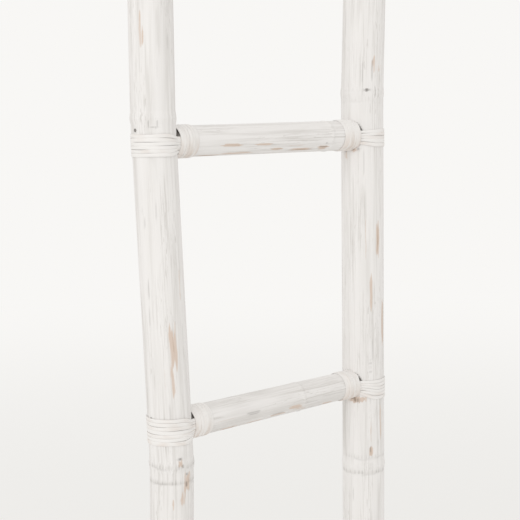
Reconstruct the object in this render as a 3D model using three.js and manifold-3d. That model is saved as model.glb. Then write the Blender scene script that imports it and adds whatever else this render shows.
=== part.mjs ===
// A bamboo ladder rack: two poles and four rungs, each rung end coped to its pole, held by a hidden
// screw and bound with flat cane. Millimetres, +Z up, origin on the floor midway between the feet,
// +X along the rungs, -Y towards the viewer.
import * as THREE from "three";
import { mergeVertices } from "three/addons/utils/BufferGeometryUtils.js";
import Module from "manifold-3d";

const wasm = await Module();
wasm.setup();

// Overall
const rungCount = 4;
const rungSpacing = 340; // rung axis to rung axis
const footLength = 240; // floor to the lowest rung's axis
const topLength = 240; // top rung's axis to the poles' tops
const poleSpacing = 346; // pole axis to pole axis at the floor
const clearance = 0.3; // between pieces that touch
const roundSteps = 28; // sides of a pole

// Poles: a culm that tapers from foot to top, with a ridge and a wall inside at each node. A node is
// placed from the rung it is next to, and the culm runs a little to one side at each node.
const poleWall = 7;
const poleRim = 1.5; // sanded edge of the cut ends
const diaphragm = 5; // thickness of the wall inside at a node
const diaphragmHole = 4; // radius of the hole knocked through it
const ridgeHeight = 1.1;
const ridgeReach = 8; // half the length of the ridge
const leftPole = {
  name: "left_pole", side: -1, footRadius: 27.2, topRadius: 25.8, topSway: -7.6,
  nodes: [
    { rung: 0, above: -139, sway: 0 },
    { rung: 1, above: -94, sway: -1.2 },
    { rung: 2, above: -44, sway: 8 },
    { rung: 3, above: 28, sway: -8 },
  ],
};
const rightPole = {
  name: "right_pole", side: 1, footRadius: 30.2, topRadius: 28.1, topSway: 6,
  nodes: [
    { rung: 0, above: 98, sway: 0 },
    { rung: 2, above: -115, sway: 0.5 },
    { rung: 3, above: 56, sway: -0.5 },
  ],
};

// Rungs: thinner bamboo, from the lowest to the top one. nodeOff is how far its node is to the right
// of the rung's middle.
const rungWall = 5;
const rungRidgeHeight = 0.7;
const rungRidgeReach = 5;
const rungSteps = 20; // sides of a rung
const rungs = [
  { leftRadius: 18.9, rightRadius: 19.5, nodeOff: -58 },
  { leftRadius: 19.3, rightRadius: 18.6, nodeOff: 78 },
  { leftRadius: 19.1, rightRadius: 18.3, nodeOff: 39 },
  { leftRadius: 18.5, rightRadius: 19.8, nodeOff: 101 },
];

// Cane binding
const caneWidth = 5;
const caneThickness = 1.2;
const saddleStrips = 6; // strips side by side round the pole's outer side
const saddleTailShare = 0.55; // how far the strips are drawn together on the rung
const saddleDrop = 3; // middle of the saddle binding below the rung's axis
const saddleRows = 4;
const saddleSpreadTurn = 0.9; // radians round the pole over which the strips spread out
const collarTurns = 5; // turns round the rung's end
const collarLiftEnd = 1.3; // radians from the rung's side at which the collar lies on the rung again
const collarLiftFade = 0.5;
const tailShort = 2; // how far the tails stop inside the collar
const saddleHalf = (saddleStrips * caneWidth) / 2;
const collarLength = collarTurns * caneWidth;

// Fixings
const screwRadius = 2.5;
const screwShort = 8; // how far its tip stops inside the plug
const screwHeadRadius = 4.8;
const screwHeadSink = 0.5; // head below the pole's surface
const screwTip = 5;
const plugLength = 40;
const tackRadius = 0.7;
const tackLength = 5.5;
const tackPoint = 1.5;
const tackHeadRadius = 2.1;
const tackHeadThickness = 0.9;

const lowestRung = footLength;
const rungHeight = (i) => lowestRung + i * rungSpacing;
const poleHeight = rungHeight(rungCount - 1) + topLength;

const bambooWhite = { color: 0xe6e2dc, roughness: 0.78, metalness: 0 };
const rungWhite = { color: 0xe1dcd5, roughness: 0.78, metalness: 0 };
const caneWhite = { color: 0xebe8e2, roughness: 0.7, metalness: 0 };
const plugWood = { color: 0xc8a878, roughness: 0.85, metalness: 0 };
const steel = { color: 0x9a9a98, roughness: 0.4, metalness: 1 };

// A closed geometry as a solid that can be cut.
function toSolid(geometry) {
  const bare = geometry.clone();
  bare.deleteAttribute("normal");
  bare.deleteAttribute("uv");
  const merged = mergeVertices(bare, 1e-3);
  const corners = merged.index.array;
  const kept = [];
  for (let i = 0; i < corners.length; i += 3) {
    const [a, b, c] = corners.slice(i, i + 3);
    if (a !== b && b !== c && c !== a) kept.push(a, b, c);
  }
  const vertProperties = merged.attributes.position.array;
  return new wasm.Manifold(new wasm.Mesh({ numProp: 3, vertProperties, triVerts: new Uint32Array(kept) }));
}

// A solid back to a geometry.
function toGeometry(solid) {
  const { vertProperties, triVerts, numProp } = solid.getMesh();
  const places = new Float32Array((vertProperties.length / numProp) * 3);
  for (let i = 0; i < places.length / 3; i++) {
    places.set(vertProperties.subarray(i * numProp, i * numProp + 3), i * 3);
  }
  const geometry = new THREE.BufferGeometry();
  geometry.setAttribute("position", new THREE.BufferAttribute(places, 3));
  geometry.setIndex(new THREE.BufferAttribute(triVerts, 1));
  return geometry;
}

function named(name, geometry, look) {
  geometry.computeVertexNormals();
  const mesh = new THREE.Mesh(geometry, new THREE.MeshStandardMaterial(look));
  mesh.name = name;
  return mesh;
}

// Moves every vertex of a geometry by a function of its place.
function remap(geometry, move) {
  const places = geometry.attributes.position;
  const point = new THREE.Vector3();
  for (let i = 0; i < places.count; i++) {
    point.fromBufferAttribute(places, i);
    move(point);
    places.setXYZ(i, point.x, point.y, point.z);
  }
  return geometry;
}

// A shape turned about Z from [radius, z] points, or about X from [radius, x] points.
function turnedAboutZ(points, steps) {
  const profile = points.map(([r, z]) => new THREE.Vector2(r, z));
  return new THREE.LatheGeometry(profile, steps).rotateX(Math.PI / 2);
}

function turnedAboutX(points, steps) {
  const profile = points.map(([r, x]) => new THREE.Vector2(r, x));
  return new THREE.LatheGeometry(profile, steps).rotateZ(-Math.PI / 2);
}

const smooth = (t) => {
  const c = Math.min(1, Math.max(0, t));
  return c * c * (3 - 2 * c);
};

const nodeHeight = (node) => rungHeight(node.rung) + node.above;

// X of a pole's axis at a height: straight between its nodes.
function poleAxis(pole, z) {
  const bends = [[0, 0], ...pole.nodes.map((n) => [nodeHeight(n), n.sway]), [poleHeight, pole.topSway]];
  const next = Math.max(1, bends.findIndex(([height]) => height >= z));
  const [[z0, x0], [z1, x1]] = [bends[next - 1], bends[next]];
  return (pole.side * poleSpacing) / 2 + x0 + ((x1 - x0) * (z - z0)) / (z1 - z0);
}

// Outer radius of a pole at a height: an even taper, with a smooth ridge at each node.
function poleRadius(pole, z) {
  let radius = pole.footRadius + ((pole.topRadius - pole.footRadius) * z) / poleHeight;
  for (const node of pole.nodes) {
    radius += ridgeHeight * smooth(1 - Math.abs(z - nodeHeight(node)) / ridgeReach);
  }
  return radius;
}

// One culm, with its bores for the screws and the tacks.
function makePole(pole) {
  const foot = poleRadius(pole, 0);
  const top = poleRadius(pole, poleHeight);
  const ridgeSteps = [-1, -0.5, 0, 0.5, 1];
  const outer = pole.nodes.flatMap((node) =>
    ridgeSteps.map((k) => nodeHeight(node) + k * ridgeReach),
  );
  const profile = [[foot - poleWall, 0], [foot - poleRim, 0], [foot, poleRim]];
  outer.forEach((z) => profile.push([poleRadius(pole, z), z]));
  profile.push([top, poleHeight - poleRim], [top - poleRim, poleHeight], [top - poleWall, poleHeight]);
  for (const node of [...pole.nodes].reverse()) {
    const z = nodeHeight(node);
    const inner = poleRadius(pole, z) - ridgeHeight - poleWall;
    const half = diaphragm / 2;
    profile.push([inner, z + half], [diaphragmHole, z + half], [diaphragmHole, z - half], [inner, z - half]);
  }
  profile.push(profile[0]);
  const culm = remap(turnedAboutZ(profile, roundSteps), (p) => {
    p.x += poleAxis(pole, p.z);
  });
  let solid = toSolid(culm);
  for (let i = 0; i < rungCount; i++) {
    const cutters = [screwCutter(pole, i), tackCutter(pole, i)];
    const frame = jointMatrix(pole, i);
    for (const cutter of cutters) solid = solid.subtract(toSolid(cutter.applyMatrix4(frame)));
  }
  return named(pole.name, toGeometry(solid), bambooWhite);
}

// A joint's own frame: origin where the rung's axis meets the pole's, +X into the rung.
function jointMatrix(pole, i) {
  const turn = pole.side < 0 ? 0 : Math.PI;
  const z = rungHeight(i);
  return new THREE.Matrix4().makeRotationZ(turn).setPosition(poleAxis(pole, z), 0, z);
}

// In a joint's frame: how far the pole's axis has moved towards the rung at a height above the rung.
function axisShift(pole, i, height) {
  const z = rungHeight(i);
  return -pole.side * (poleAxis(pole, z + height) - poleAxis(pole, z));
}

const radiusBy = (pole, i, height) => poleRadius(pole, rungHeight(i) + height);

// The pole near a joint, grown by a margin, in the joint's frame: what a rung's end is cut with.
function poleEnvelope(pole, i, margin) {
  const reach = 60;
  const profile = [[0, -reach]];
  for (let height = -reach; height <= reach; height += 10) {
    profile.push([radiusBy(pole, i, height) + margin, height]);
  }
  profile.push([0, reach]);
  return remap(turnedAboutZ(profile, roundSteps), (p) => {
    p.x += axisShift(pole, i, p.z);
  });
}

function screwCutter(pole, i) {
  const outside = radiusBy(pole, i, 0);
  const bore = screwRadius + clearance;
  const head = screwHeadRadius + clearance;
  const seat = outside - screwHeadSink;
  return turnedAboutX(
    [[0, -outside - 5], [head, -outside - 5], [head, -seat], [bore, -seat + head - bore], [bore, outside + 5],
      [0, outside + 5]],
    12,
  );
}

function tackCutter(pole, i) {
  const { height, face } = tackSeat(pole, i);
  const hole = tackRadius + clearance;
  const depth = tackLength + clearance;
  return turnedAboutX([[0, -5], [hole, -5], [hole, depth], [0, depth]], 8).translate(-face, 0, height);
}

// Where a tack stands: just above the saddle binding, on the pole's outer side, its head clear of the
// pole's face over its whole height.
function tackSeat(pole, i) {
  const height = saddleHalf - saddleDrop + clearance + tackHeadRadius;
  const across = [-1, 0, 1].map((k) => height + k * tackHeadRadius);
  const face = Math.max(...across.map((h) => radiusBy(pole, i, h) - axisShift(pole, i, h)));
  return { height, face };
}

function makeTack(pole, i) {
  const { height, face } = tackSeat(pole, i);
  const head = -clearance - tackHeadThickness;
  return turnedAboutX(
    [[0, head], [tackHeadRadius * 0.7, head], [tackHeadRadius, head / 2 - clearance / 2],
      [tackHeadRadius, -clearance], [tackRadius, -clearance], [tackRadius, tackLength - tackPoint],
      [0, tackLength]],
    8,
  ).translate(-face, 0, height);
}

// The wood screw, its flat head under the saddle binding and its tip in the plug.
function makeScrew(pole, i) {
  const outside = radiusBy(pole, i, 0);
  const seat = outside - screwHeadSink;
  const tip = plugEnd(pole, i) - screwShort;
  return turnedAboutX(
    [[0, -seat], [screwHeadRadius, -seat], [screwRadius, -seat + screwHeadRadius - screwRadius],
      [screwRadius, tip - screwTip], [0, tip]],
    10,
  );
}

const rungLength = (i) => poleAxis(rightPole, rungHeight(i)) - poleAxis(leftPole, rungHeight(i));

const rungNode = (i) => rungLength(i) / 2 + rungs[i].nodeOff;

// Outer radius of a rung at a distance from the left pole's axis.
function rungRadius(i, from) {
  const { leftRadius, rightRadius } = rungs[i];
  const ridge = rungRidgeHeight * smooth(1 - Math.abs(from - rungNode(i)) / rungRidgeReach);
  return leftRadius + ((rightRadius - leftRadius) * from) / rungLength(i) + ridge;
}

const rungBore = (i) => Math.min(rungs[i].leftRadius, rungs[i].rightRadius) - rungWall;

// The rung's largest radius under a collar that begins at a distance from the pole's axis. The collar's
// coped end reaches nearer than that beside the pole.
function bedRadius(pole, i, begin) {
  const fromLeft = (from) => (pole.side < 0 ? from : rungLength(i) - from);
  const [near, end] = [begin / 2, begin + collarLength];
  const nearNode = Math.min(end, Math.max(near, fromLeft(rungNode(i))));
  return Math.max(...[near, nearNode, end].map((from) => rungRadius(i, fromLeft(from))));
}

// Distance from the pole's axis at which the collar starts over the rung's top: clear of the leaning pole.
function collarStart(pole, i) {
  const reach = bedRadius(pole, i, 0) + 3 * caneThickness + 2 * clearance;
  const faces = [-reach, 0, reach].map((h) => radiusBy(pole, i, h) + axisShift(pole, i, h));
  return Math.max(...faces) + clearance;
}

// One rung between the two poles' axes, its ends coped to the poles. The wall inside at its node stays whole.
function makeRung(i) {
  const z = rungHeight(i);
  const start = poleAxis(leftPole, z);
  const length = rungLength(i);
  const node = rungNode(i);
  const at = (from) => rungRadius(i, from);
  const bore = rungBore(i);
  const ridge = [-1, -0.5, 0, 0.5, 1].map((k) => node + k * rungRidgeReach);
  const half = diaphragm / 2;
  const profile = [
    [0, node - half], [bore, node - half], [bore, 0], [at(0), 0],
    ...ridge.map((from) => [at(from), from]),
    [at(length), length], [bore, length], [bore, node + half], [0, node + half],
  ];
  let solid = toSolid(turnedAboutX(profile, rungSteps).translate(start, 0, z));
  for (const pole of [leftPole, rightPole]) {
    const cope = poleEnvelope(pole, i, clearance).applyMatrix4(jointMatrix(pole, i));
    solid = solid.subtract(toSolid(cope));
  }
  // The cut leaves stubs inside the poles: only the length between them is the rung.
  const between = solid.decompose().sort((a, b) => b.volume() - a.volume())[0];
  return named(`rung_${i + 1}`, toGeometry(between), rungWhite);
}

// Distance from the pole's axis at which the plug ends, short of the wall inside the rung at its node.
function plugEnd(pole, i) {
  const node = pole.side < 0 ? rungNode(i) : rungLength(i) - rungNode(i);
  return Math.min(radiusBy(pole, i, 0) + plugLength, node - diaphragm / 2 - clearance);
}

// The plug in a rung's end, coped to the pole like the rung and bored for the screw.
function makePlug(pole, i) {
  const radius = rungBore(i) - clearance;
  const start = radiusBy(pole, i, 0) / 2;
  const end = plugEnd(pole, i);
  const hole = screwRadius + clearance;
  const depth = end - screwShort + 2 * clearance;
  const dowel = toSolid(turnedAboutX([[0, start], [radius, start], [radius, end], [0, end]], 20));
  const bored = dowel
    .subtract(toSolid(turnedAboutX([[0, 0], [hole, 0], [hole, depth], [0, depth]], 12)))
    .subtract(toSolid(poleEnvelope(pole, i, clearance)));
  return toGeometry(bored.decompose().sort((a, b) => b.volume() - a.volume())[0]);
}

// The saddle's inner face on the pole. Half a step's angle is added, so that the flats between the band's
// edges clear the pole as well.
const saddleArcSteps = 24;
const saddleFlat = Math.cos((0.85 * Math.PI) / saddleArcSteps);
const saddleRadius = (pole, i, height) => (radiusBy(pole, i, height) + clearance) / saddleFlat;

// The saddle binding as one band of strips: a tail on the rung under the collar, a turn into the corner
// between rung and pole, round the pole's outer side, and the same back. The strips spread out as they go.
function makeSaddle(pole, i) {
  const steps = saddleArcSteps + 2;
  const begin = collarStart(pole, i);
  const tailEnd = begin + collarLength - tailShort;
  const onRung = bedRadius(pole, i, begin) + clearance;
  const tailHalf = saddleHalf * saddleTailShare;
  const band = new THREE.BoxGeometry(1, 1, 1, steps, saddleRows, 1);
  return remap(band, (p) => {
    const step = Math.round((p.x + 0.5) * steps);
    const across = 2 * p.y; // -1 at the lowest strip's edge, 1 at the highest's
    const lift = p.z > 0 ? caneThickness : 0;
    const fromEnd = Math.min(step, steps - step);
    const mirror = step * 2 > steps ? -1 : 1;
    const tailHeight = across * tailHalf - saddleDrop;
    const tailY = Math.sqrt((onRung + lift) ** 2 - tailHeight ** 2);
    if (fromEnd === 0) {
      p.set(tailEnd, mirror * tailY, tailHeight);
      return;
    }
    const corner = Math.asin(tailY / (saddleRadius(pole, i, tailHeight) + lift));
    const turn = corner + ((Math.PI - corner) * (fromEnd - 1)) / (saddleArcSteps / 2);
    const spread = smooth((turn - corner) / saddleSpreadTurn);
    const height = across * (tailHalf + (saddleHalf - tailHalf) * spread) - saddleDrop;
    const radius = saddleRadius(pole, i, height) + lift;
    p.set(axisShift(pole, i, height) + radius * Math.cos(turn), mirror * radius * Math.sin(turn), height);
  });
}

// The collar binding: turns of cane round the rung's end, drawn down to the rung above and below the
// saddle's tails and lifted over them at the sides. Its end at the pole is coped to the bound pole.
function makeCollar(pole, i) {
  const begin = collarStart(pole, i);
  const near = begin / 2;
  const end = begin + collarLength;
  const steps = 24;
  const low = (bedRadius(pole, i, begin) + clearance) / Math.cos(Math.PI / steps);
  const high = low + caneThickness;
  const ring = turnedAboutX([[low, near], [high, near], [high, end], [low, end], [low, near]], steps);
  remap(ring, (p) => {
    const fromSide = Math.atan2(Math.abs(p.z), Math.abs(p.y));
    const lift = (caneThickness + clearance) * smooth((collarLiftEnd - fromSide) / collarLiftFade);
    const grown = 1 + lift / Math.hypot(p.y, p.z);
    p.y *= grown;
    p.z *= grown;
  });
  const bound = saddleRadius(pole, i, 0) + caneThickness + clearance;
  const margin = bound / Math.cos(Math.PI / roundSteps) - radiusBy(pole, i, 0);
  return toGeometry(toSolid(ring).subtract(toSolid(poleEnvelope(pole, i, margin))));
}

const rack = new THREE.Group();
for (const pole of [leftPole, rightPole]) {
  rack.add(makePole(pole));
  const side = pole.side < 0 ? "left" : "right";
  for (let i = 0; i < rungCount; i++) {
    const joint = new THREE.Group();
    joint.applyMatrix4(jointMatrix(pole, i));
    joint.add(named(`${side}_saddle_binding_${i + 1}`, makeSaddle(pole, i), caneWhite));
    joint.add(named(`${side}_collar_binding_${i + 1}`, makeCollar(pole, i), caneWhite));
    joint.add(named(`${side}_plug_${i + 1}`, makePlug(pole, i), plugWood));
    joint.add(named(`${side}_screw_${i + 1}`, makeScrew(pole, i), steel));
    joint.add(named(`${side}_tack_${i + 1}`, makeTack(pole, i), steel));
    rack.add(joint);
  }
}
for (let i = 0; i < rungCount; i++) rack.add(makeRung(i));

export default rack;
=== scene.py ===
import math

import bpy
import numpy as np
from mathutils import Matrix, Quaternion, Vector


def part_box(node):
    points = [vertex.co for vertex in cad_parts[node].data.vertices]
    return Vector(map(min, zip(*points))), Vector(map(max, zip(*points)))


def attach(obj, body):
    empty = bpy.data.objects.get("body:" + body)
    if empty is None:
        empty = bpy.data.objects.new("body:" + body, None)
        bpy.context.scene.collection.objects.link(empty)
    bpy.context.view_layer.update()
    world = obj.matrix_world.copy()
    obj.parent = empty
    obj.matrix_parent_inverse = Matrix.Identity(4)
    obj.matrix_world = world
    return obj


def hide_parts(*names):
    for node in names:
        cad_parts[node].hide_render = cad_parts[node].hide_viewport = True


# A whitewashed bamboo ladder rack: poles, rungs, cane bindings and tacks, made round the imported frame.
# Lengths are metres and +Z is up. The viewer stands on the -Y side, to the left.

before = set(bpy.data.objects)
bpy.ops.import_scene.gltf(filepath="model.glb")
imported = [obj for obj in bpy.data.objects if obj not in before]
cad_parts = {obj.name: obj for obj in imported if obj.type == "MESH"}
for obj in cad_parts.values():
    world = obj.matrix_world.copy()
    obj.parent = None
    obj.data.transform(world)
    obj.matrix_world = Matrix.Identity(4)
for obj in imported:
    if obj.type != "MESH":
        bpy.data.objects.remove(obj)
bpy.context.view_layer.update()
print("frame loaded:", len(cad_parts), "nodes")

studio = {
    "cameraPlace": (-1.028, -1.114, 1.2997),
    "cameraAim": (0.66656, 0.73452, -0.12692),
    "cameraRoll": -0.742,  # degrees, the viewer's head tilt
    "lens": 83.1,
    "air": (0.940, 0.930, 0.912),  # the pale room all round
    "floor": (0.865, 0.862, 0.852),
    "floorReach": 40.0,
    "fadeStart": 1.0,  # from here the floor melts into the room
    "fadeEnd": 6.5,
    "keyPlace": (-3.2, -1.6, 2.6),
    "keySize": 2.4,
    "keyPower": 30.0,
}


def makeCamera():
    # The camera looks along its aim, and its head is tilted about that line.
    data = bpy.data.cameras.new("viewer")
    data.sensor_width = 36
    data.lens = studio["lens"]
    data.clip_end = 200
    camera = bpy.data.objects.new("viewer", data)
    bpy.context.scene.collection.objects.link(camera)
    camera.location = studio["cameraPlace"]
    camera.rotation_mode = "QUATERNION"
    level = Vector(studio["cameraAim"]).to_track_quat("-Z", "Y")
    camera.rotation_quaternion = level @ Quaternion((0, 0, 1), math.radians(studio["cameraRoll"]))
    bpy.context.scene.camera = camera


def makeLights():
    # An even pale room, and one large soft lamp to the left that looks at the rack's middle.
    world = bpy.data.worlds.new("room")
    world.use_nodes = True
    background = world.node_tree.nodes["Background"]
    background.inputs["Color"].default_value = (*studio["air"], 1)
    background.inputs["Strength"].default_value = 1.0
    bpy.context.scene.world = world
    key = bpy.data.lights.new("windowLight", "AREA")
    key.energy = studio["keyPower"]
    key.size = studio["keySize"]
    lamp = bpy.data.objects.new("windowLight", key)
    bpy.context.scene.collection.objects.link(lamp)
    lamp.location = studio["keyPlace"]
    aim = Vector((0, 0, 1.0)) - Vector(studio["keyPlace"])
    lamp.rotation_mode = "QUATERNION"
    lamp.rotation_quaternion = aim.to_track_quat("-Z", "Y")


def addNode(tree, kind, inputs=None, settings=None):
    # A shader node with its settings and its inputs, which go by name or by number. An input that is
    # another node's output is linked.
    made = tree.nodes.new(kind)
    for key, value in (settings or {}).items():
        setattr(made, key, value)
    for key, value in (inputs or {}).items():
        socket = made.inputs[key]
        if hasattr(value, "is_output"):
            tree.links.new(value, socket)
        else:
            socket.default_value = value
    return made


def makeFloor():
    # A pale floor that melts into the room with the distance from the rack.
    reach = studio["floorReach"]
    corners = [(-reach, -reach, 0), (reach, -reach, 0), (reach, reach, 0), (-reach, reach, 0)]
    mesh = bpy.data.meshes.new("floor")
    mesh.from_pydata(corners, [], [(0, 1, 2, 3)])
    floor = bpy.data.objects.new("floor", mesh)
    bpy.context.scene.collection.objects.link(floor)
    material = bpy.data.materials.new("paleFloor")
    material.use_nodes = True
    tree = material.node_tree
    tree.nodes.clear()
    place = addNode(tree, "ShaderNodeTexCoord").outputs["Object"]
    far = addNode(tree, "ShaderNodeVectorMath", {0: place}, {"operation": "LENGTH"}).outputs["Value"]
    reached = {"Value": far, "From Min": studio["fadeStart"], "From Max": studio["fadeEnd"]}
    eased = {"interpolation_type": "SMOOTHSTEP"}
    fade = addNode(tree, "ShaderNodeMapRange", reached, eased).outputs["Result"]
    near = addNode(tree, "ShaderNodeBsdfDiffuse", {"Color": (*studio["floor"], 1)}).outputs["BSDF"]
    air = addNode(tree, "ShaderNodeEmission", {"Color": (*studio["air"], 1)}).outputs["Emission"]
    both = addNode(tree, "ShaderNodeMixShader", {0: fade, 1: near, 2: air}).outputs["Shader"]
    addNode(tree, "ShaderNodeOutputMaterial", {"Surface": both})
    mesh.materials.append(material)


makeCamera()
makeLights()
makeFloor()
bpy.context.scene.view_settings.view_transform = "Standard"
print("studio ready")


reading = {
    "outerShare": 0.85,  # a ring narrower than this share of the widest is the inner wall
    "ringCorners": 70,  # a ring with fewer corners belongs to a bore
    "ridgeRise": 0.0008,  # a node's ridge stands at least this far over the taper
    "softening": 0.009,  # the axis is averaged this far up and down
    "outerCorners": 0.88,  # a rung's corners nearer to its axis than this share are inside
}


def cornersOf(name):
    # The corners of a frame node's mesh, one row each.
    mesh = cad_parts[name].data
    flat = np.empty(len(mesh.vertices) * 3)
    mesh.vertices.foreach_get("co", flat)
    return flat.reshape(-1, 3)


def readCulm(name):
    # Each level ring of the frame's pole gives its middle and its radius. Rings of the inner wall and the
    # few corners of a bore are left out by their size and their count. A node is where the ridge peaks.
    corners = cornersOf(name)
    level = np.round(corners[:, 2], 5)
    heights = np.unique(level)
    rings = []
    for height in heights:
        ring = corners[level == height]
        low, high = ring[:, 0].min(), ring[:, 0].max()
        rings.append((height, (low + high) / 2, (high - low) / 2, len(ring)))
    rings = np.array(rings)
    outer = rings[:, 2] > reading["outerShare"] * rings[:, 2].max()
    kept = rings[outer & (rings[:, 3] > reading["ringCorners"])]
    height, middle, radius = kept[:, 0], kept[:, 1], kept[:, 2]
    ridge = radius - np.interp(height, height[[2, -3]], radius[[2, -3]])
    above = np.diff(ridge, prepend=0) >= 0
    peak = (ridge > reading["ridgeRise"]) & above & (np.diff(ridge, append=0) < 0)
    return {"height": height, "middle": middle, "radius": radius, "nodes": height[peak]}


def middleAt(culm, z):
    # The pole's axis, averaged over a short length so that its bends at the nodes are soft.
    shifts = np.linspace(-reading["softening"], reading["softening"], 7)
    return np.mean([np.interp(z + s, culm["height"], culm["middle"]) for s in shifts], axis=0)


def radiusAt(culm, z):
    # The pole's radius, straight between the frame's rings.
    return np.interp(z, culm["height"], culm["radius"])


def readRung(k):
    # The rung's height from its screw, its radius along it from the frame's outer corners, and its node
    # where the radius stands highest over the even taper.
    corners = cornersOf(rungNames[k])
    low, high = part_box(f"left_screw_{k + 1}")
    z = (low.z + high.z) / 2
    away = np.hypot(corners[:, 1], corners[:, 2] - z)
    outer = away > reading["outerCorners"] * away.max()
    order = np.argsort(corners[outer, 0])
    x, radius = corners[outer, 0][order], away[outer][order]
    taper = np.interp(x, x[[0, -1]], [radius[:4].max(), radius[-4:].max()])
    return {"z": z, "x": x, "radius": radius, "node": x[np.argmax(radius - taper)]}


def rungRadiusAt(rung, x):
    # The rung's radius, straight between the frame's rings.
    return np.interp(x, rung["x"], rung["radius"])


culms = {"left": readCulm("left_pole"), "right": readCulm("right_pole")}
rungNames = sorted(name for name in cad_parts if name.startswith("rung_"))
rungCount = len(rungNames)
rungs = [readRung(k) for k in range(rungCount)]
print("nodes of the poles:", {side: np.round(culm["nodes"], 3).tolist() for side, culm in culms.items()})


def makePiece(name, skins, materials, node):
    # Each skin is rows of closed rings: neighbouring rows are joined by quads, and the first and the last
    # row are closed by a fan to their middle. Faces are turned round if the skin's volume is below 0.
    places, quads, fans, quadFinish, fanFinish, marks = [], [], [], [], [], {}
    start = 0
    for skin in skins:
        rows = skin["rows"]
        count, around = rows.shape[:2]
        index = start + np.arange(count * around).reshape(count, around)
        ahead = np.roll(index, -1, axis=1)
        faces = np.stack([index[:-1], ahead[:-1], ahead[1:], index[1:]], axis=-1).reshape(-1, 4)
        first = start + count * around
        ends = np.concatenate([
            np.stack([ahead[0], index[0], np.full(around, first)], axis=-1),
            np.stack([index[-1], ahead[-1], np.full(around, first + 1)], axis=-1),
        ])
        corners = np.concatenate([rows.reshape(-1, 3), rows[[0, -1]].mean(axis=1)])
        tri = np.concatenate([faces[:, [0, 1, 2]], faces[:, [0, 2, 3]], ends]) - start
        a, b, c = (corners[tri[:, i]] for i in range(3))
        if np.einsum("ij,ij->i", a, np.cross(b, c)).sum() < 0:
            faces, ends = faces[:, ::-1], ends[:, ::-1]
        finish = np.broadcast_to(np.asarray(skin.get("finish", 0)), (count - 1,))
        places.append(corners)
        quads.append(faces)
        fans.append(ends)
        quadFinish.append(np.repeat(finish, around))
        fanFinish.append(np.repeat(finish[[0, -1]], around))
        for key, values in skin["marks"].items():
            values = values.reshape(count * around, -1)
            tips = np.stack([values[:around].mean(axis=0), values[-around:].mean(axis=0)])
            marks.setdefault(key, []).append(np.concatenate([values, tips]))
        start += count * around + 2
    mesh = bpy.data.meshes.new(name)
    faces = np.concatenate(quads).tolist() + np.concatenate(fans).tolist()
    mesh.from_pydata(np.concatenate(places), [], faces)
    for material in materials:
        mesh.materials.append(material)
    mesh.polygons.foreach_set("material_index", np.concatenate(quadFinish + fanFinish).astype(np.int32))
    mesh.polygons.foreach_set("use_smooth", np.ones(len(mesh.polygons), bool))
    for key, parts in marks.items():
        values = np.concatenate(parts).astype(np.float32)
        if values.shape[1] == 3:
            mesh.attributes.new(key, "FLOAT_VECTOR", "POINT").data.foreach_set("vector", values.ravel())
        else:
            mesh.attributes.new(key, "FLOAT", "POINT").data.foreach_set("value", values.ravel())
    mesh.update()
    piece = bpy.data.objects.new(name, mesh)
    bpy.context.scene.collection.objects.link(piece)
    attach(piece, "root")
    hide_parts(node)
    return piece


def smooth(t):
    # 0 up to 0, 1 from 1, and an even ease between.
    t = np.clip(t, 0, 1)
    return t * t * (3 - 2 * t)


def bell(away, half):
    # 1 in the middle and about a third at the half width.
    return np.exp(-((away / half) ** 2))


def waves(rng, turn, along, orders, lengths, amount):
    # A sum of ripples round and along a culm: each has a whole number of waves round it and drifts slowly
    # along it, so that it closes on itself.
    total = np.zeros(np.broadcast_shapes(turn.shape, along.shape))
    for order in orders:
        length = rng.uniform(*lengths)
        swing = np.sin(along * 2 * math.pi / length + rng.uniform(0, 6.3)) * rng.uniform(0.4, 1.2)
        total += np.cos(order * turn + rng.uniform(0, 6.3) + swing) * rng.uniform(0.5, 1)
    return total * amount / math.sqrt(len(orders))


def angleBetween(a, b):
    # The shorter way round, with its sign.
    return (a - b + math.pi) % (2 * math.pi) - math.pi


def streaks(rng, turn, along, radius, listed):
    # Each mark is a bell across the fibres times a lens along them, with ragged ends, and it wanders a
    # little. A mark is start, end, degrees round, width, strength.
    total = np.zeros(np.broadcast_shapes(turn.shape, along.shape))
    ragged = 1 + waves(rng, turn, along * 0, [13, 19, 31, 43, 61], (1, 2), 0.28)
    for start, end, angle, width, strength in listed:
        middle, half = (start + end) / 2, abs(end - start) / 2
        drift = waves(rng, turn * 0, along, [1, 1], (0.06, 0.20), width * 0.16)
        side = angleBetween(turn, math.radians(angle)) * radius + drift
        lens = smooth((half * ragged - np.abs(along - middle)) / (0.45 * half + 1e-4))
        total = np.maximum(total, strength * bell(side, width / 2) * lens)
    return total


def scattered(rng, span, count, lengths, widths, strengths):
    # Seeded marks for the sides and lengths that the listed ones leave bare.
    out = []
    for _ in range(count):
        start = rng.uniform(*span)
        out.append((start, start + rng.uniform(*lengths), rng.uniform(-180, 180), rng.uniform(*widths),
                    rng.uniform(*strengths)))
    return out


finishes = {
    "paint": (0.812, 0.794, 0.780),
    "thinPaint": (0.610, 0.588, 0.562),
    "wornTan": (0.650, 0.540, 0.465),
    "bareTan": (0.480, 0.365, 0.280),
    # near black, for dirt and for the painted shade in the nooks where the rungs meet the poles
    "dirtAndShade": (0.085, 0.072, 0.058),
    "cane": (0.815, 0.796, 0.778),
    "steel": (0.55, 0.54, 0.52),
    "tack": (0.16, 0.15, 0.14),
    "plug": (0.52, 0.36, 0.20),
    "plugGrain": (0.34, 0.21, 0.10),
    "sawn": (0.56, 0.43, 0.29),
    "vessel": (0.24, 0.16, 0.09),
}


def startMaterial(name):
    # A material with an empty node tree.
    material = bpy.data.materials.new(name)
    material.use_nodes = True
    material.node_tree.nodes.clear()
    return material, material.node_tree


def noise(tree, place, scale, detail=4.0, rough=0.5):
    # Cloudy noise, mostly between 0.3 and 0.7.
    look = {"Vector": place, "Scale": scale, "Detail": detail, "Roughness": rough}
    return addNode(tree, "ShaderNodeTexNoise", look).outputs["Fac"]


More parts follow.
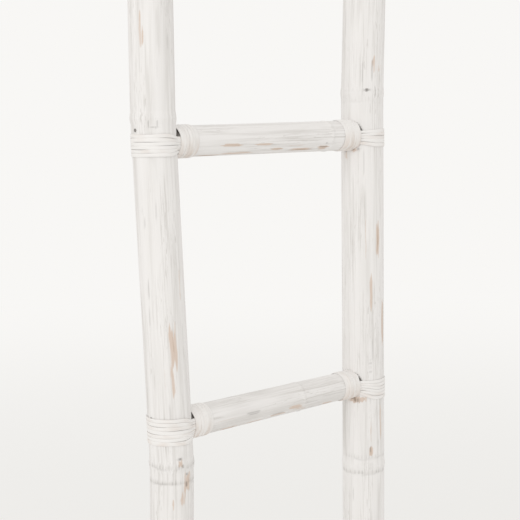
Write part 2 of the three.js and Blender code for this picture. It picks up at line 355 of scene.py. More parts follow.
def streakNoise(tree, place, across, along, detail=4.0, rough=0.55):
    # Noise that is fine across the fibres and long along them: the place is scaled first.
    scaled = addNode(tree, "ShaderNodeMapping", {"Vector": place, "Scale": (across, across, along)})
    return noise(tree, scaled.outputs["Vector"], 1.0, detail, rough)


def band(tree, value, low, high, top=1.0):
    # 0 below the low value, the top value above the high one, a smooth step between.
    look = {"Value": value, "From Min": low, "From Max": high, "To Min": 0.0, "To Max": top}
    eased = {"interpolation_type": "SMOOTHSTEP"}
    return addNode(tree, "ShaderNodeMapRange", look, eased).outputs["Result"]


def between(tree, value, low, high):
    # The value's span from 0 to 1 becomes the span from low to high.
    look = {"Value": value, "To Min": low, "To Max": high}
    return addNode(tree, "ShaderNodeMapRange", look).outputs["Result"]


def sums(tree, operation, a, b, clamp=True):
    # Two values added, multiplied or compared, and kept between 0 and 1 unless it is told otherwise.
    settings = {"operation": operation, "use_clamp": clamp}
    return addNode(tree, "ShaderNodeMath", {0: a, 1: b}, settings).outputs[0]


def tint(tree, amount, under, over):
    # The first colour where the amount is 0, the second where it is 1.
    under, over = (value if hasattr(value, "is_output") else (*value, 1) for value in (under, over))
    inputs = {0: amount, 6: under, 7: over}
    return addNode(tree, "ShaderNodeMix", inputs, {"data_type": "RGBA"}).outputs[2]


def readMark(tree, name, output="Fac"):
    # One of the values that a piece carries at its corners.
    return addNode(tree, "ShaderNodeAttribute", None, {"attribute_name": name}).outputs[output]


def closeMaterial(tree, colour, roughness, height, distance, strength, metallic=0.0):
    # The colour and the roughness go to the shader, and the height becomes its bump.
    bump = addNode(tree, "ShaderNodeBump", {"Height": height, "Distance": distance, "Strength": strength})
    look = {"Base Color": colour, "Roughness": roughness, "Metallic": metallic}
    look["Normal"] = bump.outputs["Normal"]
    shader = addNode(tree, "ShaderNodeBsdfPrincipled", look)
    addNode(tree, "ShaderNodeOutputMaterial", {"Surface": shader.outputs["BSDF"]})


def whitewashMaterial(name, streaky):
    # Chalky white paint over bamboo: grey where it is thin over fine fibres, in clusters of short
    # dashes and in the shade marks, which are thin paint and, on the left pole's right side, painted shade;
    # tan where the wear mark and the fibre noise together say it is rubbed through; and dark in the marks
    # of dirt and of the painted shade in the nooks where the rungs meet the poles.
    material, tree = startMaterial(name)
    grain = readMark(tree, "grain", "Vector")
    fine = streakNoise(tree, grain, 620.0, 14.0, 5.0, 0.62)
    middle = streakNoise(tree, grain, 190.0, 4.5, 4.0, 0.5)
    patch = streakNoise(tree, grain, 48.0, 9.0, 3.0, 0.5)
    fray = streakNoise(tree, grain, 420.0, 45.0, 4.0, 0.65)
    dash = streakNoise(tree, grain, 760.0, 70.0, 2.0, 0.5)
    greyed = sums(tree, "MULTIPLY", band(tree, fine, 0.46, 0.66, streaky), band(tree, patch, 0.38, 0.60))
    dashes = sums(tree, "MULTIPLY", band(tree, dash, 0.58, 0.70, 0.9), band(tree, patch, 0.46, 0.60))
    soft = band(tree, middle, 0.49, 0.72, 0.55 * streaky)
    shade = sums(tree, "MULTIPLY", readMark(tree, "shade"), band(tree, fine, 0.25, 0.55))
    grey = sums(tree, "MAXIMUM", sums(tree, "ADD", greyed, soft), sums(tree, "MAXIMUM", dashes, shade))
    colour = tint(tree, grey, finishes["paint"], finishes["thinPaint"])
    torn = sums(tree, "ADD", sums(tree, "MULTIPLY", fine, 0.4), sums(tree, "MULTIPLY", fray, 0.6))
    rubbed = sums(tree, "ADD", sums(tree, "MULTIPLY", readMark(tree, "wear"), 0.7), torn, False)
    colour = tint(tree, band(tree, rubbed, 0.76, 1.04), colour, finishes["wornTan"])
    colour = tint(tree, band(tree, rubbed, 1.12, 1.26, 0.85), colour, finishes["bareTan"])
    # dark where there is dirt, and painted shade in the nooks at the joints
    colour = tint(tree, readMark(tree, "dirtAndShade"), colour, finishes["dirtAndShade"])
    height = sums(tree, "ADD", sums(tree, "MULTIPLY", fine, 0.6), sums(tree, "MULTIPLY", middle, 0.4))
    closeMaterial(tree, colour, between(tree, middle, 0.55, 0.80), height, 0.0006, 0.5)
    return material


def cutMaterial(name):
    # Bare bamboo at a sawn end and inside: tan with dark vessel dots and a little white paint over it.
    material, tree = startMaterial(name)
    place = addNode(tree, "ShaderNodeTexCoord").outputs["Object"]
    dots = addNode(tree, "ShaderNodeTexVoronoi", {"Vector": place, "Scale": 900.0}).outputs["Distance"]
    cloud = noise(tree, place, 60.0)
    colour = tint(tree, band(tree, dots, 0.10, 0.34), finishes["vessel"], finishes["sawn"])
    colour = tint(tree, band(tree, cloud, 0.42, 0.58, 0.75), colour, finishes["paint"])
    closeMaterial(tree, colour, between(tree, cloud, 0.7, 0.95), dots, 0.0004, 0.4)
    return material


def caneMaterial(name):
    # Split cane painted white: fine grey lines along it, tan where it is worn and dark where it is dirty.
    material, tree = startMaterial(name)
    grain = readMark(tree, "grain", "Vector")
    fine = streakNoise(tree, grain, 1500.0, 30.0, 4.0, 0.6)
    patch = streakNoise(tree, grain, 160.0, 40.0, 3.0, 0.5)
    greyed = sums(tree, "MULTIPLY", band(tree, fine, 0.48, 0.70, 0.6), band(tree, patch, 0.40, 0.62))
    colour = tint(tree, greyed, finishes["cane"], finishes["thinPaint"])
    rubbed = sums(tree, "MULTIPLY", readMark(tree, "wear"), band(tree, patch, 0.28, 0.60))
    colour = tint(tree, rubbed, colour, finishes["wornTan"])
    colour = tint(tree, readMark(tree, "dirtAndShade"), colour, finishes["dirtAndShade"])
    closeMaterial(tree, colour, between(tree, patch, 0.45, 0.70), fine, 0.0003, 0.35)
    return material


def steelMaterial(name, base, over, share, metallic):
    # Steel clouded by tiny spots of what lies over it: rust on a screw, white paint on a tack's head.
    material, tree = startMaterial(name)
    place = addNode(tree, "ShaderNodeTexCoord").outputs["Object"]
    cloud = noise(tree, place, 700.0)
    colour = tint(tree, band(tree, cloud, 0.40, 0.65, share), finishes[base], finishes[over])
    closeMaterial(tree, colour, between(tree, cloud, 0.3, 0.6), cloud, 0.0001, 0.3, metallic)
    return material


def plugMaterial(name):
    # Bare softwood with its grain along the plug: noise that is long along x.
    material, tree = startMaterial(name)
    place = addNode(tree, "ShaderNodeTexCoord").outputs["Object"]
    scaled = addNode(tree, "ShaderNodeMapping", {"Vector": place, "Scale": (12.0, 260.0, 260.0)})
    grain = noise(tree, scaled.outputs["Vector"], 1.0, 5.0)
    colour = tint(tree, band(tree, grain, 0.35, 0.65), finishes["plug"], finishes["plugGrain"])
    closeMaterial(tree, colour, between(tree, grain, 0.7, 0.95), grain, 0.0003, 0.4)
    return material


poleFinish = whitewashMaterial("whitewashedPole", 0.8)
rungFinish = whitewashMaterial("whitewashedRung", 0.9)
cutFinish = cutMaterial("sawnBamboo")
caneFinish = caneMaterial("paintedCane")
screwFinish = steelMaterial("zincSteel", "steel", "plug", 0.15, 1.0)
tackFinish = steelMaterial("paintedTack", "tack", "thinPaint", 0.4, 0.3)
plugFinish = plugMaterial("bareSoftwood")
print("finishes ready")


def fromTop(side, up):
    # Degrees from a rung's top, the same to the front and to the back.
    return np.degrees(np.arctan2(np.abs(side), up))


def window(value, start, rise, end, fall):
    # 0 before the start and after the end, 1 inside, eased over the rise and the fall.
    return smooth((value - start) / rise) * smooth((end - value) / fall)


pole = {
    "around": 176,
    "rowStep": 0.0055,  # away from the nodes and the rungs
    "nodeStep": 0.0014,  # within the reach of a node
    "nodeReach": 0.030,
    "rungStep": 0.0024,  # within the reach of a rung's axis
    "rungReach": 0.036,
    "wall": 0.007,
    "rimRadius": 0.0015,
    "fibre": 0.00006,  # height of the fibre lines
    "roundness": 0.00022,  # how far the culm is from round
    "paintedNookShade": 0.95,  # how dark the painted shade is in the nook over a rung's end
    "nook": (25, 15, 95, 15),  # degrees from the rung's top: start, rise, end, fall
    "wornDepth": 0.00025,  # rubbed places lie a paint's thickness lower
    "endEase": 0.004,  # the relief fades out this near to the sawn ends
    "evenShade": (0.10, 0.16),  # thin paint all over: its mean and how far it varies
    "grooveDirt": 0.16,
    "rootDirt": 0.30,
    "rootShade": 0.7,
    "rootTicks": (-0.0035, 0.003, 0.0065, 0.008),  # heights from a ring: start, rise, end, fall
    "ringHeight": 0.0004,
    "ringWidth": 0.0011,
    "ringWander": 0.0014,
    "grooveBelow": 2.1,  # in ring widths
    "grooveWidth": 1.1,  # in ring widths
    "grooveDepth": 0.8,  # in ring heights
    # The ridge ring and the sheath scar of each node, from the lowest node up: heights from the node, and
    # how plainly they show.
    "rings": {
        "left": [(0.008, -0.012, 1.0), (0.007, -0.013, 1.0), (0.001, -0.019, 1.1), (-0.010, -0.026, 0.0)],
        "right": [(0.008, -0.012, 1.0), (0.014, -0.008, 0.8), (0.004, -0.010, 0.3)],
    },
    # Listed marks: the rung they are near, their bottom above its axis, their length, degrees round from
    # the side that faces the viewer, their width and their strength.
    "rubbed": {
        "left": [
            (2, 0.065, 0.070, 20, 0.011, 1.0), (2, 0.035, 0.045, 15, 0.007, 0.8),
            (2, -0.046, 0.013, 24, 0.008, 0.9), (2, -0.080, 0.032, 44, 0.014, 0.85),
            (2, -0.095, 0.020, 30, 0.012, 0.7),
        ],
        "right": [
            (3, 0.080, 0.026, 27, 0.009, 0.66), (3, 0.082, 0.012, 50, 0.018, 0.55),
            (3, -0.170, 0.060, 47, 0.007, 1.0), (3, -0.034, 0.016, -48, 0.012, 0.6),
            (3, -0.024, 0.009, -22, 0.012, 0.8), (2, 0.090, 0.075, 23, 0.005, 0.9),
            (2, 0.050, 0.070, 70, 0.008, 0.95), (2, -0.026, 0.012, -22, 0.026, 1.0),
            (2, -0.024, 0.010, 2, 0.014, 0.9), (2, -0.103, 0.020, 20, 0.007, 0.95),
        ],
    },
    "flecks": {
        "left": [
            (2, -0.036, 0.004, 22, 0.005, 0.6), (2, -0.045, 0.004, 28, 0.003, 0.5),
            (2, -0.056, 0.004, 44, 0.003, 0.6), (2, -0.070, 0.008, 42, 0.003, 0.6),
            (3, 0.017, 0.009, -12, 0.0013, 0.35), (3, 0.017, 0.009, 10, 0.0013, 0.35),
            (3, 0.0165, 0.002, 0, 0.010, 0.3), (3, -0.100, 0.015, -37, 0.0014, 0.3),
            (3, -0.185, 0.030, -36, 0.0015, 0.35),
        ],
        "right": [
            (3, 0.0575, 0.004, 11, 0.008, 0.8), (3, 0.072, 0.028, 26, 0.0022, 0.32),
            (3, 0.068, 0.028, 0, 0.0015, 0.22), (3, 0.050, 0.015, 37, 0.0014, 0.3),
            (3, -0.023, 0.005, -50, 0.004, 0.85), (3, -0.019, 0.005, -28, 0.004, 0.75),
            (3, -0.021, 0.004, -12, 0.004, 0.5), (2, -0.020, 0.005, -30, 0.007, 0.8),
            (2, -0.023, 0.004, -16, 0.006, 0.75), (2, -0.096, 0.012, 20, 0.0016, 0.5),
            (2, 0.034, 0.030, 27, 0.002, 0.25),
        ],
    },
    "greyed": {
        # On the left pole these greyed marks are painted shade on its right side, turned from the lamp; on
        # the right pole they are thin paint.
        "left": [
            (2, 0.02, 0.23, 38, 0.012, 0.55), (3, 0.02, 0.23, 42, 0.013, 0.55),
            (2, -0.12, 0.11, 30, 0.018, 0.45),
        ],
        "right": [
            (2, -0.11, 0.11, -62, 0.018, 1.0), (3, 0.06, 0.19, -64, 0.010, 0.7),
            (2, -0.12, 0.06, 10, 0.016, 0.5),
        ],
    },
    # Seeded marks everywhere: how many, then the spans of their lengths, widths and strengths.
    "scatter": {
        "rubbed": (26, (0.015, 0.07), (0.002, 0.006), (0.3, 0.8)),
        "flecks": (60, (0.008, 0.05), (0.001, 0.0018), (0.06, 0.28)),
        "greyed": (60, (0.05, 0.25), (0.002, 0.012), (0.3, 0.7)),
    },
    # A short column of level dashes.
    "stubble": {
        "rung": 2,
        "top": 0.0345,
        "step": 0.004,
        "count": 5,
        "angle": 21,
        "half": 0.003,
        "strength": 0.2,
    },
}


def poleHeights(culm):
    # Rows are close together near the nodes and the rungs' ends, and wider apart between them.
    low, high = culm["height"][[0, -1]]
    levels = np.array([rung["z"] for rung in rungs])
    heights = [low]
    while heights[-1] < high:
        step = pole["rowStep"]
        if np.abs(levels - heights[-1]).min() < pole["rungReach"]:
            step = pole["rungStep"]
        if np.abs(culm["nodes"] - heights[-1]).min() < pole["nodeReach"]:
            step = pole["nodeStep"]
        heights.append(heights[-1] + step)
    heights = np.array(heights)
    return low + (heights - low) * (high - low) / (heights[-1] - low)


def facing(culm):
    # Degrees round from +X to the pole's side that faces the viewer.
    eyeX, eyeY, _ = studio["cameraPlace"]
    return math.degrees(math.atan2(eyeY, eyeX - culm["middle"].mean()))


def marksOf(side, kind):
    # The listed marks as start, end, degrees round, width, strength.
    front = facing(culms[side])
    return [(rungs[k]["z"] + low, rungs[k]["z"] + low + length, angle + front, width, strength)
            for k, low, length, angle, width, strength in pole[kind][side]]


def nodeRing(rng, turn, z, level):
    # A raised ring with a groove under it. It wanders up and down a little, and comes and goes round the
    # pole.
    wander = waves(rng, turn, turn * 0, [1, 1, 2, 3, 5, 9], (1, 2), pole["ringWander"])
    shows = np.clip(0.55 + 0.7 * waves(rng, turn, turn * 0, [1, 2, 4, 7, 12], (1, 2), 1.0), 0.1, 1)
    away = z - (level + wander)
    width = pole["ringWidth"]
    ring = bell(away, width) * shows
    groove = bell(away + pole["grooveBelow"] * width, pole["grooveWidth"] * width) * shows
    return ring, groove


def stubble(turn, z, base, front):
    # A short column of small level dashes.
    look = pole["stubble"]
    across = angleBetween(turn, math.radians(look["angle"] + front)) * base
    below = (rungs[look["rung"]]["z"] + look["top"] - z) / look["step"]
    row = np.clip(np.round(below), 0, look["count"] - 1)
    dash = bell((below - row) * look["step"], 0.0008)
    return look["strength"] * dash * smooth((look["half"] - np.abs(across)) / 0.001)


def padded(values, before, after):
    # The first and the last row repeated over the rows of the end caps.
    return np.concatenate([np.repeat(values[:1], before, 0), values, np.repeat(values[-1:], after, 0)])


def makePole(side):
    # The frame's axis and radius, plus long low waves, fine fibre lines, and at each node two rings with
    # short root ticks over the lower one.
    culm = culms[side]
    rng = np.random.default_rng(11 if side == "left" else 23)
    z = poleHeights(culm)[:, None]
    turn = np.linspace(0, 2 * math.pi, pole["around"], endpoint=False)[None, :]
    base = radiusAt(culm, z)
    relief = waves(rng, turn, z, [2, 2, 3], (0.4, 1.1), pole["roundness"])
    relief = relief + waves(rng, turn, z, list(range(14, 80, 3)), (0.08, 0.5), pole["fibre"])
    reach = (culm["height"][0], culm["height"][-1])
    rubbed = scattered(rng, reach, *pole["scatter"]["rubbed"])
    flecks = scattered(rng, reach, *pole["scatter"]["flecks"])
    greyed = scattered(rng, reach, *pole["scatter"]["greyed"])
    wear = streaks(rng, turn, z, base, marksOf(side, "rubbed") + rubbed)
    dirtAndShade = streaks(rng, turn, z, base, marksOf(side, "flecks") + flecks)
    # The listed greyed marks are painted shade on the left pole's right side and thin paint elsewhere; the
    # seeded ones are thin paint.
    shade = streaks(rng, turn, z, base, marksOf(side, "greyed") + greyed)
    inward = 0 if side == "left" else math.pi
    for rung in rungs:  # painted shade: the pole's face over the top of each rung's end is darkened, standing in for the shadow in the nook
        beside, up = base * np.sin(turn), z - rung["z"]
        past = np.hypot(beside, up) - rung["radius"].max()
        under = smooth(0.9 - past / 0.001) * (np.cos(turn - inward) > 0)
        nook = window(fromTop(beside, up), *pole["nook"])
        dirtAndShade = np.maximum(dirtAndShade, pole["paintedNookShade"] * under * nook)
    mean, swing = pole["evenShade"]
    shade = np.maximum(shade, mean + swing * waves(rng, turn, z, [1, 2, 3, 5, 8], (0.15, 0.6), 1.0))
    for level, (ridge, scar, plain) in zip(culm["nodes"], pole["rings"][side]):
        for height, ticked in ((ridge, 0.7), (scar, 1.0)):
            ring, groove = nodeRing(rng, turn, z, level + height)
            relief = relief + plain * pole["ringHeight"] * (ring - pole["grooveDepth"] * groove)
            dirtAndShade = np.maximum(dirtAndShade, pole["grooveDirt"] * plain * groove)
            roots = np.clip(waves(rng, turn, z * 0, [29, 37, 43, 52], (1, 2), 1.3) - 0.1, 0, 1)
            over = window(z - level - height, *pole["rootTicks"])
            dirtAndShade = np.maximum(dirtAndShade, pole["rootDirt"] * plain * ticked * over * roots)
            shade = np.maximum(shade, pole["rootShade"] * plain * ticked * over)
    if side == "right":
        dirtAndShade = np.maximum(dirtAndShade, stubble(turn, z, base, facing(culm)))
    relief = relief - pole["wornDepth"] * np.clip(wear, 0, 1)
    ends = smooth((z - z[0]) / pole["endEase"]) * smooth((z[-1] - z) / pole["endEase"])
    radius = base + relief * ends
    x = middleAt(culm, z) + radius * np.cos(turn)
    outer = np.stack([x, radius * np.sin(turn), z + 0 * turn], axis=-1)
    low, high = ringsInside(culm, turn, True), ringsInside(culm, turn, False)
    rows = np.concatenate([low, outer, high])
    finish = np.zeros(len(rows) - 1, int)
    finish[:len(low)] = 1
    finish[-len(high):] = 1
    apart = 0.4 if side == "right" else 0.0  # so that the two poles' grain differs
    grain = np.stack([base * np.cos(turn) + apart, base * np.sin(turn) + 0 * z, z + 0 * turn], axis=-1)
    marks = {"grain": grain, "wear": wear, "dirtAndShade": np.clip(dirtAndShade, 0, 1), "shade": np.clip(shade, 0, 1)}
    marks = {key: padded(values, len(low), len(high)) for key, values in marks.items()}
    skin = {"rows": rows, "finish": finish, "marks": marks}
    makePiece(f"{side}_pole_culm", [skin], [poleFinish, cutFinish], f"{side}_pole")


def ringsInside(culm, turn, atFoot):
    # From the middle of the wall inside at the end's first node, out to the sawn rim. The top is the same
    # the other way round.
    end = culm["height"][0 if atFoot else -1]
    inward = 1 if atFoot else -1
    rim = radiusAt(culm, end)
    inner = rim + pole["rimRadius"] - pole["wall"]
    depth = abs(culm["nodes"][0 if atFoot else -1] - end)
    plan = [(0.15, depth), (0.6, depth - 0.0004), (0.93, depth - 0.0016), (1.0, depth - 0.004)]
    plan += [(1.0, depth * share) for share in (0.8, 0.55, 0.3, 0.1)]
    plan += [(1.0, 0.0022), (1.004, 0.0008), (1.02, 0.0002), (1.06, 0.0), (0.5 + 0.5 * rim / inner, 0.0),
             (rim / inner - 0.01, 0.0)]
    share, deep = np.array(plan).T[:, :, None]
    height = end + inward * deep
    rows = np.stack([middleAt(culm, height) + inner * share * np.cos(turn), inner * share * np.sin(turn),
                     height + 0 * turn], axis=-1)
    return rows if atFoot else rows[::-1]


for side in culms:
    makePole(side)
print("poles made")


rungLook = {
    "around": 128,
    "along": 260,
    "clearance": 0.0003,
    "fibre": 0.00006,
    "capRings": 5,
    "nookReach": 0.0065,  # how far the painted shade of the nook by the pole reaches along the rung
    # Listed marks, by rung: their start along it, their length, degrees below its front, width, strength.
    "rubbed": {
        2: [
            (-0.100, 0.032, 58, 0.009, 0.85), (-0.118, 0.085, 72, 0.008, 0.9),
            (-0.018, 0.032, 44, 0.005, 0.85), (0.014, 0.026, 24, 0.008, 0.9),
            (0.020, 0.030, 40, 0.006, 0.7), (-0.060, 0.040, 52, 0.006, 0.78),
            (0.078, 0.022, 50, 0.006, 0.9),
        ],
        3: [
            (-0.098, 0.044, 20, 0.005, 1.0), (-0.125, 0.040, 66, 0.005, 0.8),
            (-0.095, 0.068, 58, 0.006, 0.8), (-0.042, 0.036, 20, 0.004, 0.9),
            (-0.010, 0.022, 46, 0.005, 1.0), (0.014, 0.060, 52, 0.006, 1.0),
            (0.072, 0.022, 44, 0.009, 1.0),
        ],
    },
    "flecks": {
        2: [
            (-0.060, 0.024, 2, 0.0016, 0.4), (-0.056, 0.018, 9, 0.0014, 0.35),
            (-0.016, 0.026, 36, 0.0015, 0.4), (-0.094, 0.026, 64, 0.0018, 0.5),
        ],
        3: [
            (-0.124, 0.034, 72, 0.0018, 0.5), (0.074, 0.018, 42, 0.0018, 0.5),
            (0.084, 0.005, 26, 0.002, 0.35), (0.018, 0.050, 55, 0.0014, 0.3),
        ],
    },
    # Seeded marks everywhere: how many, then the spans of their lengths, widths and strengths.
    "scatter": {
        "rubbed": (9, (0.015, 0.05), (0.002, 0.004), (0.3, 0.8)),
        "flecks": (16, (0.01, 0.05), (0.0009, 0.0016), (0.06, 0.22)),
    },
    "grey": {2: 0.36, 3: 0.08},  # how grey a rung is all over
    "plainGrey": 0.3,  # the same for the others
    "scarHeight": 0.0003,
    "scarWidth": 0.0010,
    "grooveDepth": 0.00024,
    "grooveWidth": 0.0011,
    "grooveAside": 0.0022,
    "grooveDirt": 0.10,
    "paintedNookShade": 0.9,  # how dark the painted shade is on the rung's end by the pole
}


def poleFaceX(side, y, z, gap):
    # x of the pole's face beside its axis: the pole's circle at that height, grown by the gap.
    culm = culms[side]
    reach = np.sqrt(np.maximum((radiusAt(culm, z) + gap) ** 2 - y ** 2, 0))
    return middleAt(culm, z) + (reach if side == "left" else -reach)


def rungMarks(k, kind):
    # The listed marks as start, end, degrees round from the top, width, strength.
    return [(start, start + length, -90 - angle, width, strength)
            for start, length, angle, width, strength in rungLook[kind].get(k, [])]


def makeRung(k):
    # The rung's tapered radius carried from one pole's face to the other's, so both ends are coped, plus
    # fibre lines and a ring at its node.
    rung = rungs[k]
    rng = np.random.default_rng(40 + k)
    turn = np.linspace(0, 2 * math.pi, rungLook["around"], endpoint=False)[None, :]
    up, back = np.cos(turn), np.sin(turn)
    share = np.linspace(0, 1, rungLook["along"])[:, None]
    low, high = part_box(rungNames[k])
    rough = [rungRadiusAt(rung, low.x + 0.02), rungRadiusAt(rung, high.x - 0.02)]
    faces = []
    for side, radius in zip(culms, rough):
        faces.append(poleFaceX(side, radius * back, rung["z"] + radius * up, rungLook["clearance"]))
    x = faces[0] + share * (faces[1] - faces[0])
    base = rungRadiusAt(rung, x)
    relief = waves(rng, turn, x, [2, 3], (0.2, 0.6), 0.00018)
    relief = relief + waves(rng, turn, x, list(range(10, 58, 3)), (0.05, 0.3), rungLook["fibre"])
    away = x - rung["node"] + waves(rng, turn, x * 0, [1, 2, 4, 7], (1, 2), 0.0009)
    shows = np.clip(0.5 + 0.7 * waves(rng, turn, x * 0, [1, 2, 3, 5], (1, 2), 1.0), 0.1, 1)
    scar = bell(away, rungLook["scarWidth"]) * shows
    groove = bell(away - rungLook["grooveAside"], rungLook["grooveWidth"]) * shows
    relief = relief + rungLook["scarHeight"] * scar - rungLook["grooveDepth"] * groove
    reach = (low.x, high.x - 0.03)
    rubbed = scattered(rng, reach, *rungLook["scatter"]["rubbed"])
    flecks = scattered(rng, reach, *rungLook["scatter"]["flecks"])
    wear = streaks(rng, turn, x, base, rungMarks(k, "rubbed") + rubbed)
    dirtAndShade = streaks(rng, turn, x, base, rungMarks(k, "flecks") + flecks)
    grey = rungLook["grey"].get(k, rungLook["plainGrey"])
    shade = grey * (1 + 0.8 * waves(rng, turn, x, [1, 2, 3, 5], (0.05, 0.3), 1.0))
    # Painted shade: the rung darkens all round near each pole's face, standing in for the shadow in the
    # nook under the collar.
    fromPole = np.minimum(x - faces[0], faces[1] - x)
    endShade = smooth(1.2 - fromPole / rungLook["nookReach"])
    dirtAndShade = np.maximum(np.maximum(dirtAndShade, rungLook["grooveDirt"] * groove), rungLook["paintedNookShade"] * endShade)
    radius = base + relief
    body = np.stack([x, radius * back, rung["z"] + radius * up], axis=-1)
    inner = np.linspace(0.97, 0.15, rungLook["capRings"])[:, None]
    caps = []
    for end, side in ((0, "left"), (-1, "right")):
        y = body[end, :, 1] * inner
        z = rung["z"] + (body[end, :, 2] - rung["z"]) * inner
        caps.append(np.stack([poleFaceX(side, y, z, rungLook["clearance"]), y, z], axis=-1))
    rows = np.concatenate([caps[0][::-1], body, caps[1]])
    grain = np.stack([base * back + 0.1 * k, base * up + 0 * x, x], axis=-1)
    marks = {"grain": grain, "wear": wear, "dirtAndShade": np.clip(dirtAndShade, 0, 1), "shade": np.clip(shade, 0, 1)}
    marks = {key: padded(values, len(caps[0]), len(caps[1])) for key, values in marks.items()}
    skin = {"rows": rows, "marks": marks}
    makePiece(f"rung_{k + 1}_cane", [skin], [rungFinish], rungNames[k])


for k in range(rungCount):
    makeRung(k)
print("rungs made")


cane = {
    "turns": 7,
    "width": 0.005,
    "fill": 1.0,  # share of its lane that a strip fills
    "thickness": 0.0012,
    "clearance": 0.0003,
    "spreadTurn": 0.9,  # over this turn from the corner, in radians, the strips spread out
    "stripWidths": (0.88, 1.12),  # strips side by side differ within these shares
    "stripThickness": (0.88, 1.05),
    "stripSway": 0.0002,  # how far a strip wanders up and down
    "edge": 0.45,  # beyond this share of the width, dirt gathers at a strip's edge
    "saddleWear": 0.34,
    "saddleDirt": 0.16,
    "collarWear": 0.2,
    "collarUnderWear": 0.55,  # on the underside and the front
    "collarDirt": 0.10,
    "arcRows": 72,
    "tailRows": 26,
    "cornerRounds": 10,  # how often the corner is eased
    "tailEnd": 0.006,  # the tails stop this far short of the collar's end
    "section": 12,  # points round a strip
    "standOff": 0.0055,  # how far the collar stands off the pole beside the tails
    "firstTurn": 0.6,  # where the winding starts, in radians from the top towards the back
    "sway": 0.00015,  # how far a turn wanders along the rung
    "closing": (0.004, 0.005),  # past the tails the turns close on the rung: how near the end, how soon
    "paintFill": 0.004,  # paint fills this last stretch of the winding
    "paintStep": 0.3,  # the share of the strip's thickness that is left to see there
    # Degrees from the rung's top, as start, rise, end, fall: where the collar stands off the pole, and
    # where it rises over the saddle's tails.
    "standing": (28, 50, 146, 50),
    "overTails": (25, 25, 150, 20),
    # By joint: strips, their middle above the frame's band, their share of its width, and for their tails
    # on the rung the middle and the share again.
    "drawn": {
        ("left", 3): (6, 0.000, 0.87, 0.000, 0.64),
        ("left", 2): (7, 0.002, 1.09, 0.001, 0.76),
        ("right", 3): (5, -0.001, 0.80, 0.000, 0.60),
        ("right", 2): (6, -0.004, 0.90, 0.000, 0.66),
    },
    "plain": (6, 0.0, 1.0, 0.0, 0.55),  # the same for the others
}


def caneSection():
    # A flat strip with a softly domed outer face: a rounded box one unit wide and one unit thick.
    turn = np.linspace(0, 2 * math.pi, cane["section"], endpoint=False) + math.pi / cane["section"]
    across = np.sign(np.cos(turn)) * np.abs(np.cos(turn)) ** 0.3
    raised = 0.5 + 0.5 * np.sign(np.sin(turn)) * np.abs(np.sin(turn)) ** 0.7
    return across / 2, raised * (1 - 0.09 * across ** 2 * (raised > 0.5))


def readJoint(side, k):
    # The joint's own numbers, from the boxes of its bindings: u runs from the pole's axis into the rung.
    collarLow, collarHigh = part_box(f"{side}_collar_binding_{k + 1}")
    saddleLow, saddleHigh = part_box(f"{side}_saddle_binding_{k + 1}")
    z = rungs[k]["z"]
    axis = float(np.interp(z, culms[side]["height"], culms[side]["middle"]))
    inward = 1 if side == "left" else -1
    strips, raised, share, tailRaised, tailShare = cane["drawn"].get((side, k), cane["plain"])
    bandMiddle, bandHalf = (saddleHigh.z + saddleLow.z) / 2 - z, (saddleHigh.z - saddleLow.z) / 2
    return {
        "side": side, "k": k, "z": z, "axis": axis, "inward": inward, "strips": strips,
        "end": inward * ((collarHigh.x if side == "left" else collarLow.x) - axis),
        "bed": (collarHigh.z - collarLow.z) / 2 - cane["thickness"],
        "middle": bandMiddle + raised,
        "half": bandHalf * share,
        "tailMiddle": bandMiddle + tailRaised,
        "tailHalf": bandHalf * tailShare,
    }


def toWorld(joint, u, y, h):
    # The joint's frame is turned half round for the right pole, so nothing is mirrored.
    return np.stack([joint["axis"] + joint["inward"] * u, joint["inward"] * y, joint["z"] + h], axis=-1)


def overPole(joint, h, lift):
    # How far from the pole's axis a strip lies that is lifted off its bed.
    return radiusAt(culms[joint["side"]], joint["z"] + h) + cane["clearance"] + lift


def poleShift(joint, h):
    # How far the pole's axis at that height has moved into the rung.
    culm = culms[joint["side"]]
    return joint["inward"] * (middleAt(culm, joint["z"] + h) - joint["axis"])


def saddleHalfPath(joint, across, lift):
    # Round the pole from its outer middle to the corner between pole and rung, then along the rung under
    # the collar. The strips close up as they near the rung, and the corner is eased.
    tail = joint["tailMiddle"] + across * joint["tailHalf"]
    wide = joint["middle"] + across * joint["half"]
    tailY = np.sqrt((joint["bed"] + lift) ** 2 - tail ** 2)
    corner = np.arcsin(np.clip(tailY / overPole(joint, tail, lift), -1, 1))
    step = np.linspace(0, 1, cane["arcRows"])[:, None]
    turn = math.pi + (corner - math.pi) * step
    height = tail + (wide - tail) * smooth((turn - corner) / cane["spreadTurn"])
    grown = overPole(joint, height, lift)
    arc = np.stack([poleShift(joint, height) + grown * np.cos(turn), grown * np.sin(turn), height], axis=-1)
    step = np.linspace(0, 1, cane["tailRows"])[1:, None]
    first = arc[-1, :, 0]
    u = first + (joint["end"] - cane["tailEnd"] - first) * step
    run = np.stack([u, tailY + 0 * step, tail + 0 * step], axis=-1)
    path = np.concatenate([arc, run])
    for _ in range(cane["cornerRounds"]):
        path[1:-1] = 0.5 * path[1:-1] + 0.25 * (path[:-2] + path[2:])
    return path


